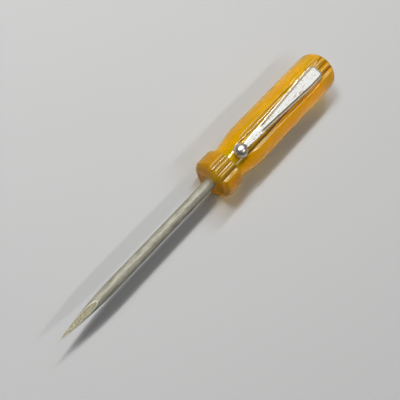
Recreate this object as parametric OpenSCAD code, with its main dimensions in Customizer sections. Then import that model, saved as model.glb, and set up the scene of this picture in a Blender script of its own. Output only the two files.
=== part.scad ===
// Pocket scratch awl: fluted amber handle, pointed round shank, sprung pocket clip with a ball end.
// Frame: +X runs along the tool to the point, +Z is up on the clip's side, and the tool lies on z = 0.
// The origin is under the middle of the tool's bounding box.
// Places along the tool are given as d, the distance behind the handle's front face.

/* [Handle] */
// Diameter of the bar that the handle is turned from
handle_d = 12.7; // [12:0.1:13.5]
// How far the middle of each smooth land lies inside the bar's circle, so that the tool doesn't roll
land_drop = 0.25; // [0.1:0.05:0.4]
// Length of the handle
handle_len = 52; // [51:0.5:60]
// Length of the collar at the shank end
collar_len = 6.4; // [5.5:0.1:6.8]
// Rounding of the collar's front edge
nose_round = 2; // [1:0.1:2.5]
// Rounding of the collar's rear edge
collar_round = 1; // [0.4:0.1:1.1]
// Diameter of the turned neck behind the collar
neck_d = 10.4; // [9.8:0.1:10.8]
// Length of the straight part of the neck
neck_len = 2.2; // [1.6:0.1:2.6]
// Length of the cone from the neck up to the full diameter
cone_len = 6.7; // [5:0.1:9]
// Rounding of the butt
butt_round = 4; // [3:0.1:6]

/* [Flutes] */
// Number of fluted strips round the handle
strip_count = 3; // [3:1:3]
// Number of flutes in each strip
flutes_per_strip = 3; // [1:1:3]
// Angle from one flute to the next in a strip
flute_pitch = 19.6; // [19:0.1:21]
// Radius of each flute's round bottom
flute_r = 1; // [0.8:0.05:1.05]
// Depth of each flute
flute_depth = 0.76; // [0.5:0.02:0.8]

/* [Shank] */
// Diameter of the shank
shank_d = 3.175; // [3:0.025:3.5]
// Length of shank in front of the handle
shank_len = 56; // [50:1:80]
// Length of the rounded taper to the point
taper_len = 19; // [15:0.5:24]
// Radius of the grinding wheel that left the two flats at the point
wheel_r = 75; // [60:5:100]
// How far ahead of the point the middle of the wheel stood
wheel_lead = 1.6; // [1:0.1:3]
// Half of the thickness left between the flats, where they are closest
point_web = 0.08; // [0.06:0.01:0.15]
// Diameter of the knurled tang held inside the handle
tang_d = 3.6; // [3.3:0.05:3.8]
// Length of the tang
tang_len = 28; // [20:1:30]
// Length of the tang that shows in front of the handle
tang_proud = 0.5; // [0.2:0.1:1]
// Width across the two wings that stop the tang turning
wing_span = 4.2; // [4:0.1:5.5]
// Thickness of the wings
wing_t = 1.2; // [0.8:0.1:1.6]
// Length of the wings
wing_len = 5; // [3:0.5:8]

/* [Clip] */
// Thickness of the clip's strip
strip_t = 0.5; // [0.4:0.05:0.6]
// Width of the strip at its heel
heel_w = 4.8; // [4.4:0.1:5]
// Width of the strip at the ball
tail_w = 1.6; // [1.4:0.1:2]
// Where the strip reaches its full width
full_width_at = 39.7; // [39:0.1:40.5]
// Where the heel ends
heel_end_at = 45.4; // [45:0.1:46]
// Rounding of the heel's corners
heel_round = 1.9; // [1:0.1:2.1]
// Height of the panel pressed up along the strip
panel_rise = 0.25; // [0.15:0.05:0.3]
// Width of the flange left on each side of the panel
flange_w = 0.7; // [0.5:0.05:0.75]
// Where the panel starts, behind the ball
panel_at = 16.5; // [15:0.5:20]
// Clear height of the strip above the bar at the heel
heel_lift = 0.05; // [0.05:0.05:0.2]
// Clear height of the strip above the bar at the ball
tail_lift = 0.8; // [0.6:0.05:0.9]
// Diameter of the ball
ball_d = 4; // [3.6:0.1:4.2]
// Where the ball's middle is
ball_at = 9.4; // [9.3:0.1:10.2]

/* [Clip seat] */
// Where the pocket for the clip's heel starts
pocket_at = 35.9; // [35:0.1:36.5]
// Length of the pocket
pocket_len = 7.7; // [7:0.1:8]
// Width of the pocket
pocket_w = 6.4; // [5.8:0.1:6.6]
// Depth of the pocket below the bar's full diameter
pocket_depth = 1.6; // [1:0.1:2]
// How deep the clip's two ears stand in the handle below the pocket
ear_depth = 2; // [1:0.1:2.5]

/* [Hidden] */
$fn = 96;

handle_r = handle_d / 2;
neck_r = neck_d / 2;
shank_r = shank_d / 2;
tang_r = tang_d / 2;
ball_r = ball_d / 2;
face_x = (handle_len - shank_len) / 2;      // the handle's front face
axis_z = handle_r - land_drop;              // the tool's axis above the surface that it lies on
cone_at = collar_len + neck_len;            // where the neck's straight part ends
seat_gap = 0.02;                            // room between the handle and what it holds
overrun = 1;                                // how far a cutter runs past what it cuts

// Each flute is a circle round flute_at. Between two strips the smooth land is a flatter arc of land_r,
// which meets the bar's circle at the edges of the flutes beside it.
flute_at = handle_r - flute_depth + flute_r;
flute_half = acos((pow(handle_r, 2) + pow(flute_at, 2) - pow(flute_r, 2)) / (2 * handle_r * flute_at));
land_half = 180 / strip_count - flute_pitch * (flutes_per_strip - 1) / 2 - flute_half;
land_rise = handle_r * (1 - cos(land_half)) - land_drop;
land_r = (pow(handle_r * sin(land_half), 2) + pow(land_rise, 2)) / (2 * land_rise);

// The shank's taper is an arc that meets the cylinder smoothly.
taper_r = (pow(taper_len, 2) + pow(shank_r, 2)) / (2 * shank_r);
taper_angle = asin(taper_len / taper_r);
wheel_h = point_web + sqrt(pow(wheel_r, 2) - pow(wheel_lead, 2));

// The ears stand a little inside the pocket's ends, and the arm bends at their front edge.
ear_inset = 0.3;
ear_len = pocket_len - 2 * ear_inset;
hinge_at = pocket_at + ear_inset;
hinge_gap = 0.1;                            // room for the arm's end to turn in front of the heel

// The ball rests just clear of the cone behind the neck.
ball_gap = 0.1;
cone_slope = (handle_r - neck_r) / cone_len;
ball_h = neck_r + (ball_at - cone_at) * cone_slope + ball_gap + ball_r * sqrt(1 + pow(cone_slope, 2));

// Width of the strip at d
function strip_w(d) =
    let (k = (d - ball_at - ball_r) / (full_width_at - ball_at - ball_r))
    tail_w + (heel_w - tail_w) * min(1, max(0, k));

// Height of the strip's underside above the handle's axis at d
function under(d) =
    handle_r + heel_lift + (tail_lift - heel_lift) * max(0, hinge_at - d) / (hinge_at - ball_at);

// Points of an arc round [cx, cy]
function arc(cx, cy, r, a0, a1, n) =
    [for (i = [0:n]) let (a = a0 + (a1 - a0) * i / n) [cx + r * cos(a), cy + r * sin(a)]];

// The handle's outline: radius against d
handle_outline = concat(
    [[0, 0]],
    arc(handle_r - nose_round, nose_round, nose_round, -90, 0, 8),
    arc(handle_r - collar_round, collar_len - collar_round, collar_round, 0, 90, 5),
    [[neck_r, collar_len], [neck_r, cone_at], [handle_r, cone_at + cone_len]],
    arc(handle_r - butt_round, handle_len - butt_round, butt_round, 0, 90, 12),
    [[0, handle_len]]
);

// The shank's outline in front of the handle: radius against distance ahead of the front face
shank_outline = concat(
    [[0, 0], [shank_r, 0]],
    [for (i = [0:15])
        let (a = taper_angle * i / 16)
        [shank_r - taper_r + taper_r * cos(a), shank_len - taper_len + taper_r * sin(a)]],
    [[0, shank_len]]
);

// Turns a shape that is built up +Z to run back along the handle from the front face
module behind_face() {
    translate([face_x, 0, axis_z]) rotate([0, -90, 0]) children();
}

// Turns a shape that is built up +Z to run forward along the shank from the front face
module ahead_of_face() {
    translate([face_x, 0, axis_z]) rotate([0, 90, 0]) children();
}

// A block from d0 to d1, between heights h0 and h1 above the axis, w wide
module block(d0, d1, h0, h1, w) {
    translate([face_x - d1, -w / 2, axis_z + h0]) cube([d1 - d0, w, h1 - h0]);
}

// Every flute on the handle, as round cutters along it
module flutes() {
    middle = (flutes_per_strip - 1) / 2;
    for (s = [0:strip_count - 1])
        for (i = [0:flutes_per_strip - 1])
            rotate([0, 0, 360 / strip_count * s + flute_pitch * (i - middle)])
                translate([flute_at, 0, -overrun])
                    cylinder(r = flute_r, h = handle_len + 2 * overrun);
}

// The fluted bar with its smooth lands, before it is turned
module bar() {
    difference() {
        intersection_for(s = [0:strip_count - 1])
            rotate([0, 0, 360 / strip_count * (s + 0.5)])
                translate([handle_r - land_drop - land_r, 0, -overrun])
                    cylinder(r = land_r, h = handle_len + 2 * overrun);
        flutes();
    }
}

// The round tang and its two wings; gap makes the hole that holds them
module tang(gap) {
    behind_face() translate([0, 0, -tang_proud]) cylinder(r = tang_r + gap, h = tang_proud + tang_len + gap);
    block(
        tang_len - wing_len - 1 - gap, tang_len - 1 + gap,
        -wing_span / 2 - gap, wing_span / 2 + gap, wing_t + 2 * gap
    );
}

// The clip's two ears, folded down from the strip's edges; gap makes the slots that hold them
module ears(gap) {
    floor_h = handle_r - pocket_depth - ear_depth;
    for (side = [-1, 1])
        translate([0, side * (heel_w - strip_t) / 2, 0])
            block(
                hinge_at - gap, hinge_at + ear_len + gap,
                floor_h - gap, under(hinge_at) + strip_t / 2, strip_t + 2 * gap
            );
}

module handle() {
    color([0.85, 0.55, 0.05])
        difference() {
            behind_face()
                intersection() {
                    rotate_extrude() polygon(handle_outline);
                    bar();
                }
            tang(seat_gap);
            block(pocket_at, pocket_at + pocket_len, handle_r - pocket_depth, handle_r + overrun, pocket_w);
            ears(seat_gap);
        }
}

// A pass of the grinding wheel over the point, on one side of the shank
module wheel_cut(side) {
    translate([side * wheel_h, 0, shank_len + wheel_lead])
        rotate([90, 0, 0])
            cylinder(r = wheel_r, h = 2 * shank_d, center = true, $fn = 360);
}

module awl_shank() {
    color([0.45, 0.44, 0.4]) {
        ahead_of_face()
            difference() {
                rotate_extrude() polygon(shank_outline);
                wheel_cut(1);
                wheel_cut(-1);
            }
        tang(0);
    }
}

// The plan of the strip or its panel between d0 and d1, narrower than the strip by inset on each side
module plan(d0, d1, inset) {
    end_r = heel_round - inset;
    end_w = heel_w / 2 - inset - end_r;
    stretch = [for (d = [d0, min(d1, full_width_at)]) [face_x - d, strip_w(d) / 2 - inset]];
    corner = d1 < heel_end_at - heel_round ? []
        : arc(face_x - heel_end_at + inset + end_r, end_w, end_r, 90, 180, 8);
    upper = concat(stretch, corner);
    lower = [for (i = [len(upper) - 1:-1:0]) [upper[i][0], -upper[i][1]]];
    translate([0, 0, axis_z]) linear_extrude(handle_d) polygon(concat(upper, lower));
}

// A sheet that follows the strip's slope from d0 to d1, t thick, lift above its underside
module sheet(d0, d1, lift, t) {
    low = [for (d = [d0, hinge_at, d1]) if (d >= d0 && d <= d1) [face_x - d, axis_z + under(d) + lift]];
    high = [for (i = [len(low) - 1:-1:0]) [low[i][0], low[i][1] + t]];
    rotate([90, 0, 0]) linear_extrude(2 * heel_w, center = true) polygon(concat(low, high));
}

// The stretch of pressed strip from d0 to d1, with its raised panel
module strip(d0, d1) {
    intersection() {
        plan(d0, d1, 0);
        sheet(d0, d1, 0, strip_t);
    }
    intersection() {
        plan(max(d0, panel_at), d1, flange_w);
        sheet(max(d0, panel_at), d1, strip_t / 2, strip_t / 2 + panel_rise);
    }
}

module clip_heel() {
    color([0.8, 0.81, 0.83]) {
        strip(hinge_at, heel_end_at);
        ears(0);
    }
}

module clip_arm() {
    color([0.8, 0.81, 0.83])
        difference() {
            strip(ball_at, hinge_at - hinge_gap);
            translate([face_x - ball_at, 0, axis_z + ball_h]) sphere(ball_r);
        }
}

module clip_ball() {
    color([0.7, 0.71, 0.73])
        translate([face_x - ball_at, 0, axis_z + ball_h]) sphere(ball_r);
}

handle();
awl_shank();
clip_heel();
clip_arm();
clip_ball();
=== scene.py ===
import math

import bmesh
import bpy
from mathutils import Matrix, Vector
from mathutils.kdtree import KDTree


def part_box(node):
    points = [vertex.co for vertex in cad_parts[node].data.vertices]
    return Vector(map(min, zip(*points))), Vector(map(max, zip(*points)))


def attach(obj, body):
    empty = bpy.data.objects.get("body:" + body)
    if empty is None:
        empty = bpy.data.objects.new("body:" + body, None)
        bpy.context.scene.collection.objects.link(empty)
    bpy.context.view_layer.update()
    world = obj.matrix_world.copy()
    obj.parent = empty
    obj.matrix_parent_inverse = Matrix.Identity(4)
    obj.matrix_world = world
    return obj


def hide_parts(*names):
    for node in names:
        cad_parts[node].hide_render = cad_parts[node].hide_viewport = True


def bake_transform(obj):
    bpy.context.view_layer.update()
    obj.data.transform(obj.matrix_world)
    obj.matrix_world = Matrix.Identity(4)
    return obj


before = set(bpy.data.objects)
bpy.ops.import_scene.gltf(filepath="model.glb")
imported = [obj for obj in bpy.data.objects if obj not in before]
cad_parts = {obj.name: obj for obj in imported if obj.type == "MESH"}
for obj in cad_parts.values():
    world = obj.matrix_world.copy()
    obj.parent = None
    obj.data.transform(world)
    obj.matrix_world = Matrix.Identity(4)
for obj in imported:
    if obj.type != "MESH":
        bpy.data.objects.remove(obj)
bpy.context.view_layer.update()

# ---------------------------------------------------------------------------------------------
# Sizes. Lengths are in metres, angles in degrees. Places along the tool are given as d, the
# distance behind the handle's front face, and heights as h, above the tool's axis.

MM = 0.001

handle_low, handle_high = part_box("handle")
shank_low, shank_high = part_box("awl_shank")
ball_low, ball_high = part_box("clip_ball")

FACE_X = handle_high.x
AXIS_Z = (shank_low.z + shank_high.z) / 2
HANDLE_LEN = handle_high.x - handle_low.x
BALL_R = (ball_high.z - ball_low.z) / 2
BALL_MIDDLE = (ball_low + ball_high) / 2
POINT_X = shank_high.x

# the turned handle
BAR_R = 6.35 * MM
COLLAR_LEN = 6.4 * MM
NOSE_ROUND = 2 * MM
COLLAR_ROUND = 1 * MM
NECK_R = 5.2 * MM
COLLAR_FADE = 400                 # how sharply the painted shade on the collar and face begins, per metre
CONE_AT = 8.6 * MM
SHOULDER_AT = 15.3 * MM
BUTT_ROUND = 4 * MM
NECK_FILLET = 0.3 * MM            # rounding where the collar meets the neck
TURNED_BLEND = 0.35 * MM          # rounding where the neck meets the cone and the cone the bar
FINE_FROM = 7 * MM                # the fine rings along the neck and the cone
FINE_TO = 16 * MM
BAR_RINGS_FROM = 17 * MM

# the fluted bar
STRIPS = 3
FLUTES = 3
FLUTE_PITCH = 19.6
FLUTE_R = 1 * MM
FLUTE_AT = BAR_R - 0.76 * MM + FLUTE_R
LAND_DROP = 0.25 * MM
EDGE_SOFTNESS = 0.18 * MM         # rounding of the flutes' edges
MARK_REACH = 2.2                  # half the width of the mark along a flute's edge, in degrees
MARK_TOP = 0.5 * MM               # how far below the bar's circle the mark of an edge ends
MARK_FADE = 0.3 * MM              # over which height it fades
FLOOR_SHADE_REACH = 0.15 * MM            # how far above a flute's floor its painted shade ends
STRIP_SWEEP = 63                  # the fine part of the spin, which takes in a strip's edges
STRIP_STEPS = 126                 # steps of the spin over a strip and over a land
LAND_STEPS = 26

# the pocket for the clip
POCKET_AT = 35.9 * MM
POCKET_LEN = 7.7 * MM
POCKET_W = 6.4 * MM
POCKET_DEPTH = 1.6 * MM
POCKET_WALL = 0.05 * MM           # the slope of the pocket's ends, along the tool

# the shank
SHANK_R = 3.175 * MM / 2
TAPER_LEN = 19 * MM
WHEEL_R = 75 * MM
WHEEL_LEAD = 1.6 * MM
POINT_WEB = 0.08 * MM
FLAT_HIGHLIGHT_REACH = 0.25 * MM            # width of the painted highlight round the ground flats
TANG_R = 3.6 * MM / 2
TANG_LEN = 28 * MM
TANG_PROUD = 0.5 * MM
TANG_EDGE = 0.15 * MM
WING_SIZE = (5 * MM, 1.2 * MM, 4.2 * MM)
WING_EDGE = 0.25 * MM
WING_GAP = 1 * MM                 # from the wings to the tang's end

# the clip
STRIP_T = 0.5 * MM
HEEL_W = 4.8 * MM
TAIL_W = 1.6 * MM
FULL_WIDTH_AT = 39.7 * MM
HEEL_END_AT = 45.4 * MM
HEEL_ROUND = 1.9 * MM
PANEL_RISE = 0.25 * MM
FLANGE_W = 0.7 * MM
PANEL_AT = 16.5 * MM
HEEL_LIFT = 0.05 * MM
TAIL_LIFT = 0.8 * MM
WORN_FLANGE = 0.4                 # the flanges' wear, on the scale where the seam's painted shade is 1
SEAM_REACH = 0.3 * MM             # how far the painted shade in the seam reaches to each side
HINGE_AT = POCKET_AT + 0.3 * MM
EAR_LEN = POCKET_LEN - 0.6 * MM
EAR_DEPTH = 2 * MM
EAR_EDGE = 0.12 * MM
EAR_INSET = 0.03 * MM             # how far the ears stand inside the strip's edges
EDGE_ROUND = 0.2 * MM             # rounding of the strip's upper edges
UNDER_ROUND = 0.04 * MM           # and of its lower edges
PANEL_STEP = 0.28 * MM            # width of the pressed step round the panel
PANEL_START = 3 * MM              # length over which the panel rises from the strip
STRIP_ROWS = 220                  # the strip's mesh: rows along it and columns across each side
STRIP_COLUMNS = 96

# the ball
BALL_AT = FACE_X - BALL_MIDDLE.x
BALL_SWEEP = 158                  # how far round, in degrees, the ball runs before its neck
NECK_REACH = 0.4 * MM             # how far the ball's flared neck runs along the strip
NECK_END_R = 0.45 * MM

# the camera
CAMERA_TILT = 70                  # degrees from the tool's axis to the line of sight
CAMERA_ROLL = 46.47               # degrees, so that the tool runs from corner to corner
CAMERA_DISTANCE = 153.7 * MM
CAMERA_AIM = (5.7 * MM, 1.17 * MM)


# ---------------------------------------------------------------------------------------------
# Helpers

def at(d, y, h):
    """The point d behind the front face, y across the tool and h above its axis."""
    return Vector((FACE_X - d, y, AXIS_Z + h))


def soft_min(a, b, softness):
    """The smaller of two lengths, with the corner between them rounded."""
    near = max(softness - abs(a - b), 0) / softness
    return min(a, b) - near * near * softness / 4


def soft_max(a, b, softness):
    """The larger of two lengths, with the corner between them rounded."""
    return -soft_min(-a, -b, softness)


def smooth_step(t):
    """0 up to t = 0, 1 from t = 1, and a smooth rise between them."""
    t = min(1, max(0, t))
    return t * t * (3 - 2 * t)


def stops(start, end, count):
    """count + 1 evenly spaced values from start to end."""
    return [start + (end - start) * i / count for i in range(count + 1)]


def quarter_turn(steps):
    """The sine and cosine of evenly spaced angles from 0 to 90 degrees."""
    angles = [math.radians(a) for a in stops(0, 90, steps)]
    return [(math.sin(a), math.cos(a)) for a in angles]


def finish_mesh(name, bm, material):
    """Turns a bmesh into an object with one material and smooth faces."""
    bmesh.ops.remove_doubles(bm, verts=bm.verts, dist=0.001 * MM)
    bmesh.ops.recalc_face_normals(bm, faces=bm.faces)
    mesh = bpy.data.meshes.new(name)
    bm.to_mesh(mesh)
    bm.free()
    mesh.materials.append(material)
    piece = bpy.data.objects.new(name, mesh)
    bpy.context.scene.collection.objects.link(piece)
    mesh.shade_smooth()
    return piece


def set_smooth_by_angle(mesh, angle):
    """Smooth faces, with sharp edges where two faces meet at more than angle degrees."""
    mesh.shade_smooth()
    mesh.set_sharp_from_angle(angle=math.radians(angle))


def combine(piece, tool, operation):
    """Cuts or joins tool and piece with an exact boolean, and removes tool."""
    modifier = piece.modifiers.new("combine", "BOOLEAN")
    modifier.operation = operation
    modifier.solver = "EXACT"
    modifier.object = tool
    graph = bpy.context.evaluated_depsgraph_get()
    mesh = bpy.data.meshes.new_from_object(piece.evaluated_get(graph))
    piece.modifiers.clear()
    old = piece.data
    piece.data = mesh
    mesh.name = old.name
    bpy.data.meshes.remove(old)
    bpy.data.objects.remove(tool)


def spin_outline(bm, outline, sweeps):
    """Spins an outline of (d, radius) about the tool's axis. sweeps lists (degrees, steps)."""
    verts = [bm.verts.new(at(d, 0, radius)) for d, radius in outline]
    edges = [bm.edges.new(pair) for pair in zip(verts, verts[1:])]
    geometry = verts + edges
    for degrees, steps in sweeps:
        turned = bmesh.ops.spin(
            bm, geom=geometry, cent=at(0, 0, 0), axis=(1, 0, 0),
            angle=math.radians(degrees), steps=steps, use_merge=False, use_duplicate=False,
        )
        geometry = turned["geom_last"]
    bmesh.ops.remove_doubles(bm, verts=bm.verts, dist=0.002 * MM)


# ---------------------------------------------------------------------------------------------
# Materials

def new_material(name):
    """A new material, with its node tree and its Principled shader."""
    material = bpy.data.materials.new(name)
    material.use_nodes = True
    tree = material.node_tree
    shader = tree.nodes["Principled BSDF"]
    return material, tree, shader


def add(tree, kind, **settings):
    """Adds a node with its settings."""
    node = tree.nodes.new(kind)
    for key, value in settings.items():
        setattr(node, key, value)
    return node


def attribute(tree, name):
    """A mesh attribute's value."""
    return add(tree, "ShaderNodeAttribute", attribute_name=name).outputs["Fac"]


def stretched(tree, scale, offset=(0, 0, 0)):
    """Object coordinates, scaled and then moved along each axis."""
    place = add(tree, "ShaderNodeTexCoord")
    mapping = add(tree, "ShaderNodeMapping")
    mapping.inputs["Scale"].default_value = scale
    mapping.inputs["Location"].default_value = offset
    tree.links.new(place.outputs["Object"], mapping.inputs["Vector"])
    return mapping.outputs["Vector"]


def noise(tree, vector, detail=3, roughness=0.5):
    """A noise texture's value, at the scale of the coordinates that it is given."""
    node = add(tree, "ShaderNodeTexNoise")
    node.inputs["Scale"].default_value = 1
    node.inputs["Detail"].default_value = detail
    node.inputs["Roughness"].default_value = roughness
    tree.links.new(vector, node.inputs["Vector"])
    return node.outputs["Fac"]


def ramp(tree, value, points):
    """A colour ramp through (position, colour) points."""
    node = add(tree, "ShaderNodeValToRGB")
    elements = node.color_ramp.elements
    while len(elements) < len(points):
        elements.new(0.5)
    for element, (position, colour) in zip(elements, points):
        element.position = position
        element.color = (*colour, 1)
    tree.links.new(value, node.inputs["Fac"])
    return node.outputs["Color"]


def grey(value):
    """A grey colour."""
    return (value, value, value)


def mixed(tree, share, a, b):
    """A mix of two colours, each a socket or a fixed colour."""
    mix = add(tree, "ShaderNodeMix", data_type="RGBA")
    sockets = [s for s in mix.inputs if s.type == "RGBA"]
    tree.links.new(share, mix.inputs["Factor"])
    for socket, value in zip(sockets, (a, b)):
        if isinstance(value, tuple):
            socket.default_value = (*value, 1)
        else:
            tree.links.new(value, socket)
    return [s for s in mix.outputs if s.type == "RGBA"][0]


def multiplied(tree, a, b):
    """The product of two colour sockets."""
    mix = add(tree, "ShaderNodeMix", data_type="RGBA", blend_type="MULTIPLY")
    mix.inputs["Factor"].default_value = 1
    first, second = [s for s in mix.inputs if s.type == "RGBA"]
    tree.links.new(a, first)
    tree.links.new(b, second)
    return [s for s in mix.outputs if s.type == "RGBA"][0]


def bump(tree, height, strength, distance, under=None):
    """A bump from a height, on top of another bump."""
    node = add(tree, "ShaderNodeBump")
    node.inputs["Strength"].default_value = strength
    node.inputs["Distance"].default_value = distance
    tree.links.new(height, node.inputs["Height"])
    if under is not None:
        tree.links.new(under, node.inputs["Normal"])
    return node.outputs["Normal"]


def amber_acetate():
    """Clear amber plastic with haze and scuffs, painted shade on its flute floors and collar,
    painted highlights on the flute edges.
    """
    material, tree, shader = new_material("amber_acetate")
    shader.inputs["IOR"].default_value = 1.475
    shader.inputs["Transmission Weight"].default_value = 0.62
    shader.inputs["Specular IOR Level"].default_value = 0.22
    haze = noise(tree, stretched(tree, (160, 300, 300)), 3)
    plain = ramp(tree, haze, [(0.3, (0.86, 0.54, 0.002)), (0.7, (0.94, 0.64, 0.003))])
    scuffs = noise(tree, stretched(tree, (500, 2200, 2200)), 5, 0.6)
    mark = attribute(tree, "flute_mark")
    # painted shade on the flute floors, where the flute mark is low
    floor_shade = ramp(tree, mark, [(0.15, grey(1)), (0.45, grey(0))])
    # painted highlight on the flute edges, where the flute mark is high, broken up by the scuff
    # noise
    edge = ramp(tree, mark, [(0.55, grey(0)), (0.85, grey(1))])
    edge = multiplied(tree, edge, ramp(tree, scuffs, [(0.3, grey(0.5)), (0.55, grey(1))]))
    # painted shade darkens the collar and the face: along the tool, this value passes 0.5 at the
    # collar's back
    along = add(tree, "ShaderNodeSeparateXYZ")
    collar_back = (0.5 - (FACE_X - COLLAR_LEN) * COLLAR_FADE, 0, 0)
    tree.links.new(stretched(tree, (COLLAR_FADE, 0, 0), collar_back), along.inputs["Vector"])
    collar_shade = ramp(tree, along.outputs["X"], [(0.4, grey(1)), (0.6, (0.84, 0.78, 0.8))])
    # painted shade: the flute floors go towards a deep brown
    shaded_amber = mixed(tree, floor_shade, multiplied(tree, plain, collar_shade), (0.30, 0.13, 0.002))
    # painted highlight: the flute edges go towards a pale cream
    tree.links.new(mixed(tree, edge, shaded_amber, (1.0, 0.84, 0.36)), shader.inputs["Base Color"])
    rough = ramp(tree, scuffs, [(0.45, grey(0.02)), (0.8, grey(0.10))])
    tree.links.new(rough, shader.inputs["Roughness"])
    waves = noise(tree, stretched(tree, (120, 420, 420)), 2)
    tree.links.new(bump(tree, waves, 0.05, 0.04 * MM), shader.inputs["Normal"])
    absorb = add(tree, "ShaderNodeVolumeAbsorption")
    absorb.inputs["Color"].default_value = (0.97, 0.89, 0.08, 1)
    absorb.inputs["Density"].default_value = 80
    output = tree.nodes["Material Output"]
    tree.links.new(absorb.outputs["Volume"], output.inputs["Volume"])
    glow = add(tree, "ShaderNodeBsdfTransparent")
    glow.inputs["Color"].default_value = (0.34, 0.26, 0.05, 1)
    path = add(tree, "ShaderNodeLightPath")
    mix = add(tree, "ShaderNodeMixShader")
    tree.links.new(path.outputs["Is Shadow Ray"], mix.inputs["Fac"])
    tree.links.new(shader.outputs["BSDF"], mix.inputs[1])
    tree.links.new(glow.outputs["BSDF"], mix.inputs[2])
    tree.links.new(mix.outputs["Shader"], output.inputs["Surface"])
    return material


def drawn_steel():
    """Dull grey drawn steel: long grain, tarnish, bright scratches and a painted highlight round
    the ground flats.
    """
    material, tree, shader = new_material("drawn_steel")
    shader.inputs["Metallic"].default_value = 0.15
    grain = noise(tree, stretched(tree, (90, 3000, 3000)), 4, 0.65)
    patches = noise(tree, stretched(tree, (400, 1300, 1300)), 5, 0.7)
    drawn = ramp(tree, grain, [(0.35, (0.17, 0.16, 0.115)), (0.65, (0.38, 0.365, 0.30))])
    tarnish = ramp(tree, patches, [(0.38, (0.19, 0.18, 0.13)), (0.6, (0.38, 0.365, 0.30))])
    shaft = mixed(tree, grain, tarnish, drawn)
    streaks = noise(tree, stretched(tree, (160, 2600, 2600), (0.3, 0.1, 0.7)), 3, 0.7)
    bright = ramp(tree, streaks, [(0.66, grey(0)), (0.74, grey(1))])
    streaked = mixed(tree, bright, shaft, (0.66, 0.65, 0.60))
    # painted highlight: the steel next to the ground flats goes towards a pale grey
    highlighted = mixed(tree, attribute(tree, "flat_edge_highlight"), streaked, (0.78, 0.76, 0.69))
    tree.links.new(highlighted, shader.inputs["Base Color"])
    rough = ramp(tree, bright, [(0.0, grey(0.62)), (1.0, grey(0.4))])
    tree.links.new(rough, shader.inputs["Roughness"])
    tree.links.new(bump(tree, grain, 0.2, 0.03 * MM), shader.inputs["Normal"])
    return material


def ground_steel():
    """The ground flats at the point: speckled, a little golden, with small dark pits."""
    material, tree, shader = new_material("ground_steel")
    shader.inputs["Metallic"].default_value = 0.6
    speckle = noise(tree, stretched(tree, (2200, 3200, 3200)), 4, 0.7)
    colour = ramp(tree, speckle, [
        (0.34, (0.09, 0.08, 0.045)), (0.46, (0.25, 0.23, 0.15)), (0.66, (0.37, 0.35, 0.26)),
    ])
    tree.links.new(colour, shader.inputs["Base Color"])
    shader.inputs["Roughness"].default_value = 0.6
    pits = ramp(tree, speckle, [(0.34, grey(0)), (0.46, grey(1))])
    marks = noise(tree, stretched(tree, (5000, 120, 120)), 3, 0.6)
    fine = bump(tree, marks, 0.4, 0.02 * MM)
    tree.links.new(bump(tree, pits, 0.6, 0.04 * MM, fine), shader.inputs["Normal"])
    return material


def clip_plating():
    """Bright plating with spots of wear and scratches, dull on the flanges, with painted shade in
    the seam.
    """
    material, tree, shader = new_material("clip_plating")
    shader.inputs["Metallic"].default_value = 1
    wear = noise(tree, stretched(tree, (900, 1500, 1500)), 5, 0.65)
    spots = ramp(tree, wear, [(0.36, (0.30, 0.26, 0.19)), (0.44, (1.0, 1.0, 1.0))])
    wear_and_seam_shade = attribute(tree, "wear_and_seam_shade")
    # the tone: bright panel, dull tan flanges from wear, and nearly black painted shade in the seam
    tone = ramp(tree, wear_and_seam_shade, [
        (0.0, (0.86, 0.85, 0.82)), (WORN_FLANGE, (0.48, 0.41, 0.30)), (1.0, (0.03, 0.027, 0.02)),
    ])
    tree.links.new(multiplied(tree, tone, spots), shader.inputs["Base Color"])
    scratches = noise(tree, stretched(tree, (300, 5000, 2000)), 3, 0.6)
    dull = ramp(tree, wear, [(0.34, grey(0.5)), (0.44, grey(0.15))])
    seam = ramp(tree, wear_and_seam_shade, [(WORN_FLANGE, grey(0)), (0.7, grey(1))])
    tree.links.new(mixed(tree, seam, dull, grey(0.95)), shader.inputs["Roughness"])
    tree.links.new(bump(tree, scratches, 0.12, 0.01 * MM), shader.inputs["Normal"])
    return material


def ball_plating():
    """Bright plating on the ball, dulled and darkened in small patches."""
    material, tree, shader = new_material("ball_plating")
    shader.inputs["Metallic"].default_value = 1
    wear = noise(tree, stretched(tree, grey(1400)), 5, 0.65)
    tone = ramp(tree, wear, [(0.35, (0.26, 0.23, 0.17)), (0.52, (0.66, 0.62, 0.54))])
    tree.links.new(tone, shader.inputs["Base Color"])
    rough = ramp(tree, wear, [(0.3, grey(0.5)), (0.5, grey(0.32))])
    tree.links.new(rough, shader.inputs["Roughness"])
    tree.links.new(bump(tree, wear, 0.2, 0.02 * MM), shader.inputs["Normal"])
    return material


AMBER = amber_acetate()
STEEL = drawn_steel()
GROUND_STEEL = ground_steel()
PLATING = clip_plating()
BALL_FINISH = ball_plating()


# ---------------------------------------------------------------------------------------------
# Handle

# half the angle of a flute and of a land, in degrees, and the flatter arc of a land
FLUTE_HALF = math.degrees(math.acos(
    (BAR_R ** 2 + FLUTE_AT ** 2 - FLUTE_R ** 2) / (2 * BAR_R * FLUTE_AT)))
LAND_HALF = 180 / STRIPS - FLUTE_PITCH * (FLUTES - 1) / 2 - FLUTE_HALF
LAND_RISE = BAR_R * (1 - math.cos(math.radians(LAND_HALF))) - LAND_DROP
LAND_R = ((BAR_R * math.sin(math.radians(LAND_HALF))) ** 2 + LAND_RISE ** 2) / (2 * LAND_RISE)


def turned_radius(d):
    """The handle's radius where it is turned, between the collar and the shoulder and beyond."""
    cone = NECK_R + (BAR_R - NECK_R) * (d - CONE_AT) / (SHOULDER_AT - CONE_AT)
    return soft_min(soft_max(NECK_R, cone, TURNED_BLEND), BAR_R, TURNED_BLEND)


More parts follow.
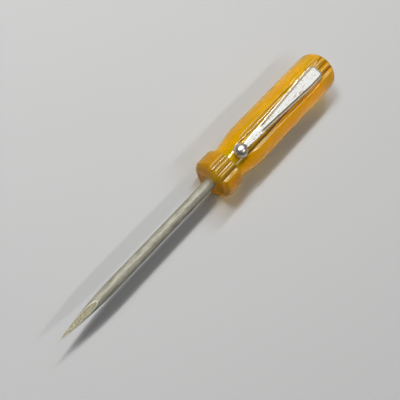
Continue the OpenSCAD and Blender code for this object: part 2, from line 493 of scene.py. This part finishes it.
def handle_outline():
    """The handle's half outline, from the middle of its face to the middle of its butt."""
    outline = [(0, 0), (0, TANG_R)]
    for sin, cos in quarter_turn(14):
        outline.append((NOSE_ROUND * (1 - cos), BAR_R - NOSE_ROUND * (1 - sin)))
    for sin, cos in quarter_turn(10):
        outline.append((COLLAR_LEN - COLLAR_ROUND * (1 - sin), BAR_R - COLLAR_ROUND * (1 - cos)))
    for sin, cos in quarter_turn(6):
        outline.append((COLLAR_LEN + NECK_FILLET * (1 - cos), NECK_R + NECK_FILLET * (1 - sin)))
    outline += [(d, turned_radius(d)) for d in stops(FINE_FROM, FINE_TO, 40)]
    pocket_end = POCKET_AT + POCKET_LEN
    outline += [(d, BAR_R) for d in stops(BAR_RINGS_FROM, POCKET_AT - POCKET_WALL, 12)]
    outline += [(d, BAR_R) for d in stops(POCKET_AT, pocket_end, 14)]
    outline.append((pocket_end + POCKET_WALL, BAR_R))
    for sin, cos in quarter_turn(28):
        outline.append((HANDLE_LEN - BUTT_ROUND * (1 - sin), BAR_R - BUTT_ROUND * (1 - cos)))
    outline.append((HANDLE_LEN, 0))
    return outline


def from_strip(angle):
    """An angle from the clip's side, as the angle from the middle of its own strip."""
    return (angle + 180 / STRIPS) % (360 / STRIPS) - 180 / STRIPS


def off_flutes(angle):
    """How far an angle from a strip's middle lies from the middle of each of its flutes."""
    return [angle - FLUTE_PITCH * (i - (FLUTES - 1) / 2) for i in range(FLUTES)]


def bar_radius(angle):
    """The fluted bar's radius at an angle from the clip's side, in degrees."""
    angle = from_strip(angle)
    off_land = math.radians(180 / STRIPS - abs(angle))
    inset = LAND_R - BAR_R + LAND_DROP
    land = math.sqrt(LAND_R ** 2 - (inset * math.sin(off_land)) ** 2) - inset * math.cos(off_land)
    radius = min(BAR_R, land)
    for off in off_flutes(angle):
        off = math.radians(off)
        reach = FLUTE_R ** 2 - (FLUTE_AT * math.sin(off)) ** 2
        if reach > 0:
            flute = FLUTE_AT * math.cos(off) - math.sqrt(reach)
            radius = soft_min(radius, flute, EDGE_SOFTNESS)
    return radius


def flute_mark(angle, radius):
    """The flutes' mark: 0 on the floors (painted shade), 1 on the edges (painted highlight), else
    0.5.
    """
    off = min(abs(off) for off in off_flutes(from_strip(angle)))
    edge = max(0, 1 - abs(off - FLUTE_HALF) / MARK_REACH)
    edge *= smooth_step((radius - BAR_R + MARK_TOP) / MARK_FADE)
    floor = smooth_step(1.5 - off / MARK_REACH)
    floor *= max(0, 1 - abs(radius - FLUTE_AT + FLUTE_R) / FLOOR_SHADE_REACH)
    return 0.5 + (edge - floor) / 2


def make_handle():
    """The handle: its outline spun, with the flutes and the clip's pocket pressed into it."""
    bm = bmesh.new()
    land = (360 / STRIPS - STRIP_SWEEP, LAND_STEPS)
    strip = (STRIP_SWEEP, STRIP_STEPS)
    half_strip = (STRIP_SWEEP / 2, STRIP_STEPS // 2)
    sweeps = [half_strip] + [land, strip] * (STRIPS - 1) + [land, half_strip]
    spin_outline(bm, handle_outline(), sweeps)
    slack = 0.01 * MM
    for vert in bm.verts:
        across = Vector((0, vert.co.y, vert.co.z - AXIS_Z))
        radius = across.length
        if radius < TANG_R / 2:
            continue
        d = FACE_X - vert.co.x
        angle = math.degrees(math.atan2(across.y, across.z))
        target = soft_min(radius, bar_radius(angle), EDGE_SOFTNESS)
        in_pocket = POCKET_AT - slack < d < POCKET_AT + POCKET_LEN + slack
        if in_pocket and across.z > 0 and abs(across.y) < POCKET_W / 2:
            target = min(target, (BAR_R - POCKET_DEPTH) * radius / across.z)
        vert.co = at(d, 0, 0) + across * (target / radius)
    handle = finish_mesh("amber_handle", bm, AMBER)
    mark = handle.data.attributes.new("flute_mark", "FLOAT", "POINT")
    for vert, value in zip(handle.data.vertices, mark.data):
        height = vert.co.z - AXIS_Z
        angle = math.degrees(math.atan2(vert.co.y, height))
        value.value = flute_mark(angle, math.hypot(vert.co.y, height))
    return handle


# ---------------------------------------------------------------------------------------------
# Shank

def shank_outline():
    """The shank's half outline, from the tang's end to the point."""
    taper_r = (TAPER_LEN ** 2 + SHANK_R ** 2) / (2 * SHANK_R)
    taper_angle = math.asin(TAPER_LEN / taper_r)
    length = POINT_X - FACE_X
    outline = [(TANG_LEN, 0), (TANG_LEN, TANG_R - TANG_EDGE), (TANG_LEN - TANG_EDGE, TANG_R)]
    outline += [(d, TANG_R) for d in stops(TANG_LEN - 2 * MM, TANG_EDGE - TANG_PROUD, 12)]
    outline += [(-TANG_PROUD, SHANK_R)]
    outline += [(d, SHANK_R) for d in stops(-1 * MM, TAPER_LEN - length + 1 * MM, 30)]
    for a in stops(0, taper_angle, 60)[:-1]:
        outline.append((
            TAPER_LEN - length - taper_r * math.sin(a),
            SHANK_R - taper_r * (1 - math.cos(a)),
        ))
    outline.append((-length, 0))
    return outline


def grinding_wheel(side):
    """The wheel that left one flat at the point."""
    bm = bmesh.new()
    bmesh.ops.create_cone(
        bm, cap_ends=True, segments=720, radius1=WHEEL_R, radius2=WHEEL_R, depth=4 * SHANK_R,
        matrix=Matrix.Rotation(math.radians(90), 4, "X"),
    )
    middle = at(0, 0, side * (POINT_WEB + math.sqrt(WHEEL_R ** 2 - WHEEL_LEAD ** 2)))
    middle.x = POINT_X + WHEEL_LEAD
    bmesh.ops.translate(bm, verts=bm.verts, vec=middle)
    return finish_mesh("grinding_wheel", bm, STEEL)


def mark_flat_edge_highlight(mesh):
    """Marks the steel next to the ground flats, where a painted highlight goes round them."""
    flats = [set(face.vertices) for face in mesh.polygons if face.material_index > 0]
    drawn = [set(face.vertices) for face in mesh.polygons if face.material_index == 0]
    border = sorted(set().union(*flats) & set().union(*drawn))
    nearest = KDTree(len(border))
    for i in border:
        nearest.insert(mesh.vertices[i].co, i)
    nearest.balance()
    mark = mesh.attributes.new("flat_edge_highlight", "FLOAT", "POINT")
    for vert, value in zip(mesh.vertices, mark.data):
        distance = nearest.find(vert.co)[2]
        value.value = max(0, 1 - distance / FLAT_HIGHLIGHT_REACH)


def rounded_block(name, middle, size, edge, material):
    """A block with rounded edges."""
    bm = bmesh.new()
    bmesh.ops.create_cube(bm, size=1)
    bmesh.ops.scale(bm, verts=bm.verts, vec=size)
    bmesh.ops.bevel(
        bm, geom=bm.edges[:], offset=edge, affect="EDGES", segments=3, profile=0.5, material=-1,
    )
    bmesh.ops.translate(bm, verts=bm.verts, vec=middle)
    return finish_mesh(name, bm, material)


def make_shank():
    """The shank with its ground point, and the tang and wings inside the handle."""
    bm = bmesh.new()
    spin_outline(bm, shank_outline(), [(360, 96)])
    shank = finish_mesh("steel_shank", bm, STEEL)
    wings_at = at(TANG_LEN - WING_GAP - WING_SIZE[0] / 2, 0, 0)
    combine(shank, rounded_block("wings", wings_at, WING_SIZE, WING_EDGE, STEEL), "UNION")
    for side in (1, -1):
        combine(shank, grinding_wheel(side), "DIFFERENCE")
    shank.data.materials.append(GROUND_STEEL)
    ground = len(shank.data.materials) - 1
    for face in shank.data.polygons:
        if face.center.x > FACE_X + 1 * MM and abs(face.normal.y) < 0.0001:
            face.material_index = ground
    set_smooth_by_angle(shank.data, 20)
    mark_flat_edge_highlight(shank.data)
    return shank


# ---------------------------------------------------------------------------------------------
# Clip

def strip_half_width(d):
    """Half of the strip's width at d, with the heel's corners rounded."""
    share = (d - BALL_AT - BALL_R) / (FULL_WIDTH_AT - BALL_AT - BALL_R)
    half = (TAIL_W + (HEEL_W - TAIL_W) * min(1, max(0, share))) / 2
    past = max(0, d - (HEEL_END_AT - HEEL_ROUND))
    return half - HEEL_ROUND + math.sqrt(max(0, HEEL_ROUND ** 2 - past ** 2))


def strip_under(d):
    """The height of the strip's underside above the axis at d."""
    rise = (TAIL_LIFT - HEEL_LIFT) * max(0, HINGE_AT - d) / (HINGE_AT - BALL_AT)
    return BAR_R + HEEL_LIFT + rise


def strip_top(d, y):
    """The height of the strip's top above the axis, with its raised panel and its rounded edges."""
    to_edge = max(0, min(strip_half_width(d) - abs(y), HEEL_END_AT - d))
    panel = smooth_step((to_edge - FLANGE_W) / PANEL_STEP + 0.5)
    panel *= smooth_step((d - PANEL_AT) / PANEL_START)
    corner = max(0, EDGE_ROUND - to_edge)
    fall = EDGE_ROUND - math.sqrt(EDGE_ROUND ** 2 - corner ** 2)
    return strip_under(d) + STRIP_T + PANEL_RISE * panel - fall


def wear_and_seam_shade_at(d, y):
    """How dull the plating is: 0 on the bright panel, WORN_FLANGE on the flanges, 1 for painted
    shade in the seam.
    """
    to_edge = max(0, min(strip_half_width(d) - abs(y), HEEL_END_AT - d))
    start = smooth_step((d - PANEL_AT) / PANEL_START)
    flange = WORN_FLANGE * smooth_step((FLANGE_W - to_edge) / PANEL_STEP + 0.5)
    # painted shade: a dark line in the crease of the panel's pressed step
    seam = max(0, 1 - abs(to_edge - FLANGE_W) / SEAM_REACH)
    return start * max(flange, seam)


def make_strip():
    """The pressed strip: a flat sleeve closed round the strip's section at every place along it."""
    bm = bmesh.new()
    bmesh.ops.create_grid(bm, x_segments=STRIP_ROWS, y_segments=2 * STRIP_COLUMNS, size=1)
    start = BALL_AT + 0.5 * BALL_R
    for vert in bm.verts:
        along = (vert.co.x + 1) / 2
        around = vert.co.y
        end_pull = 0.95 * math.sin(along * math.pi / 2) ** 0.8 + 0.05 * along
        d = start + (HEEL_END_AT - start) * end_pull
        side = 1 - 2 * abs(around)
        across = 0.8 * math.sin(side * math.pi / 2) + 0.2 * side
        y = across * strip_half_width(d)
        top = strip_top(d, y)
        under = strip_under(d) + UNDER_ROUND * abs(across) ** 12
        if abs(side) > 0.9999:
            h = (top + under) / 2
        else:
            h = top if around > 0 else under
        vert.co = at(d, y, h)
    bmesh.ops.remove_doubles(bm, verts=bm.verts, dist=0.0005 * MM)
    bmesh.ops.holes_fill(bm, edges=[e for e in bm.edges if e.is_boundary])
    return finish_mesh("pocket_clip", bm, PLATING)


def make_ear(side):
    """One of the two ears, folded down from the strip's edges into the pocket."""
    low = BAR_R - POCKET_DEPTH - EAR_DEPTH
    high = strip_under(HINGE_AT) + STRIP_T / 2
    y = side * (HEEL_W / 2 - EAR_INSET - STRIP_T / 2)
    middle = at(HINGE_AT + EAR_LEN / 2, y, (low + high) / 2)
    return rounded_block("ear", middle, (EAR_LEN, STRIP_T, high - low), EAR_EDGE, PLATING)


def make_clip():
    """The clip: the pressed strip and its two ears in one piece."""
    clip = make_strip()
    for side in (1, -1):
        combine(clip, make_ear(side), "UNION")
    set_smooth_by_angle(clip.data, 40)
    wear_and_seam_shade = clip.data.attributes.new("wear_and_seam_shade", "FLOAT", "POINT")
    for vert, value in zip(clip.data.vertices, wear_and_seam_shade.data):
        value.value = wear_and_seam_shade_at(FACE_X - vert.co.x, vert.co.y)
    return clip


def make_ball():
    """The ball, with the short flared neck that joins it to the strip."""
    bm = bmesh.new()
    outline = [(BALL_AT - BALL_R, 0)]
    for a in stops(0, BALL_SWEEP, 44)[1:]:
        a = math.radians(a)
        outline.append((BALL_AT - BALL_R * math.cos(a), BALL_R * math.sin(a)))
    end_d, end_r = outline[-1]
    for t in stops(0, 1, 8)[1:]:
        outline.append((end_d + NECK_REACH * t, NECK_END_R + (end_r - NECK_END_R) * (1 - t) ** 2))
    outline.append((end_d + NECK_REACH, 0))
    spin_outline(bm, outline, [(360, 72)])
    bmesh.ops.translate(bm, verts=bm.verts, vec=(0, 0, BALL_MIDDLE.z - AXIS_Z))
    ball = finish_mesh("clip_ball_end", bm, BALL_FINISH)
    set_smooth_by_angle(ball.data, 50)
    return ball


handle = make_handle()
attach(handle, "handle")
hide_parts("handle")

shank = make_shank()
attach(shank, "handle")
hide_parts("awl_shank")

ball = make_ball()
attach(ball, "clip")
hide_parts("clip_ball")

clip = make_clip()
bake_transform(clip)
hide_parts("clip_heel", "clip_arm")


# ---------------------------------------------------------------------------------------------
# Floor, lights and camera

def make_floor():
    """A plain pale floor."""
    bm = bmesh.new()
    bmesh.ops.create_grid(bm, x_segments=1, y_segments=1, size=1.5)
    material, _, shader = new_material("pale_floor")
    shader.inputs["Base Color"].default_value = (0.5, 0.5, 0.495, 1)
    shader.inputs["Roughness"].default_value = 0.9
    floor = finish_mesh("floor", bm, material)


def soft_light(name, direction, distance, size, power):
    """A rectangular area light, size along the tool and across it, that shines from a direction."""
    light = bpy.data.lights.new(name, "AREA")
    light.shape = "RECTANGLE"
    light.size = size[0]
    light.size_y = size[1]
    light.energy = power
    lamp = bpy.data.objects.new(name, light)
    bpy.context.scene.collection.objects.link(lamp)
    away = Vector(direction).normalized()
    along = (Vector((1, 0, 0)) - away * away.x).normalized()
    turn = Matrix((along, away.cross(along), away)).transposed().to_4x4()
    lamp.matrix_world = Matrix.Translation(away * distance) @ turn
    return lamp


def make_world():
    """Pale light from above and round the horizon, dimmer between them."""
    world = bpy.data.worlds.new("studio")
    world.use_nodes = True
    tree = world.node_tree
    background = tree.nodes["Background"]
    place = add(tree, "ShaderNodeTexCoord")
    split = add(tree, "ShaderNodeSeparateXYZ")
    tree.links.new(place.outputs["Generated"], split.inputs["Vector"])
    sky = ramp(tree, split.outputs["Z"], [
        (0.0, (0.30, 0.30, 0.305)), (0.25, (0.09, 0.09, 0.093)), (0.9, (0.14, 0.143, 0.15)),
    ])
    tree.links.new(sky, background.inputs["Color"])
    background.inputs["Strength"].default_value = 1
    bpy.context.scene.world = world


def make_camera():
    """Looks down on the tool from the point's end, in the plane of its axis and the clip."""
    tilt = math.radians(CAMERA_TILT)
    toward = Vector((math.cos(tilt), 0, math.sin(tilt)))
    to_butt = Vector((-math.sin(tilt), 0, math.cos(tilt)))
    across = Vector((0, 1, 0))
    roll = math.radians(CAMERA_ROLL)
    right = to_butt * math.cos(roll) + across * math.sin(roll)
    up = to_butt * math.sin(roll) - across * math.cos(roll)
    aim = Vector((FACE_X + CAMERA_AIM[0], CAMERA_AIM[1], AXIS_Z))
    place = aim + toward * CAMERA_DISTANCE
    data = bpy.data.cameras.new("camera")
    data.sensor_width = 36
    data.lens = 52
    data.clip_start = 0.01
    camera = bpy.data.objects.new("camera", data)
    bpy.context.scene.collection.objects.link(camera)
    turn = Matrix((right, up, toward)).transposed().to_4x4()
    camera.matrix_world = Matrix.Translation(place) @ turn
    bpy.context.scene.camera = camera


bpy.context.scene.view_settings.view_transform = "Standard"
bpy.context.scene.view_settings.look = "Medium High Contrast"
bpy.context.scene.view_settings.exposure = -0.25
make_floor()
make_world()
soft_light("key", (0.18, -0.5, 0.85), 0.6, (0.12, 0.12), 1.5)
soft_light("window", (-0.3, -0.48, 0.83), 0.6, (0.5, 0.035), 2.1)
soft_light("overhead", (-0.5, -0.02, 0.86), 0.7, (0.4, 0.3), 0.31)
soft_light("far_side", (-0.25, 0.55, 0.8), 0.6, (0.5, 0.05), 0.75)
gleam = soft_light("gleam", (-0.3, -0.42, 0.85), 0.65, (0.5, 0.09), 5)
gleam.visible_diffuse = False
gleam.visible_transmission = False
make_camera()
